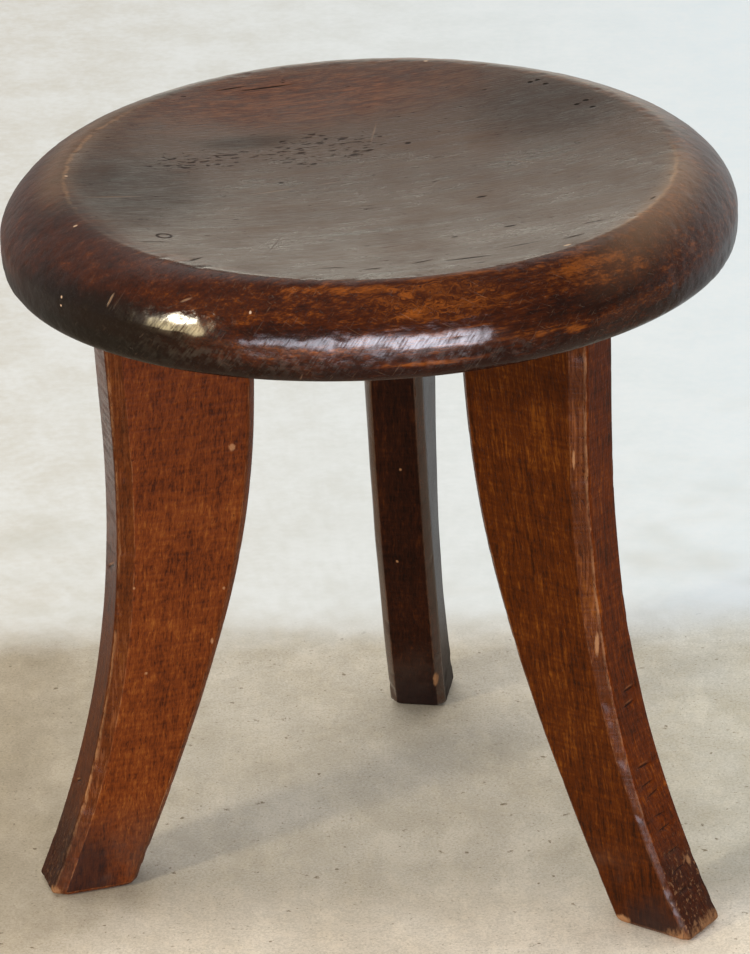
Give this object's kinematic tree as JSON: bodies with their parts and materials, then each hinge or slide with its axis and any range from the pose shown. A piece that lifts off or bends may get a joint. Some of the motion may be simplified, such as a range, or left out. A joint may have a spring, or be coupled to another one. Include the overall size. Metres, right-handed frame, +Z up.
{
  "type": "three-legged stool",
  "caption": "Low round wooden stool with a thick dished seat, a fat rounded rim and three outward-curving sabre legs, in worn dark brown polish.",
  "frame": {"origin": "on the floor under the middle of the seat", "axes": "+Z up, -Y towards the front, +X to the right as seen from the front"},
  "size_m": [0.383, 0.3847, 0.39],
  "materials": {
    "seat_wood": "dark brown worn polish, satin to glossy",
    "leg_wood": "red-brown worn polish, satin",
    "wedge_wood": "bare split wood, hidden in the joints"
  },
  "bodies": {
    "root": {"seat": "seat_wood", "leg_left": "leg_wood", "leg_right": "leg_wood", "leg_rear": "leg_wood", "wedge_left_inner": "wedge_wood", "wedge_left_outer": "wedge_wood", "wedge_right_inner": "wedge_wood", "wedge_right_outer": "wedge_wood", "wedge_rear_inner": "wedge_wood", "wedge_rear_outer": "wedge_wood"}
  },
  "joints": []
}
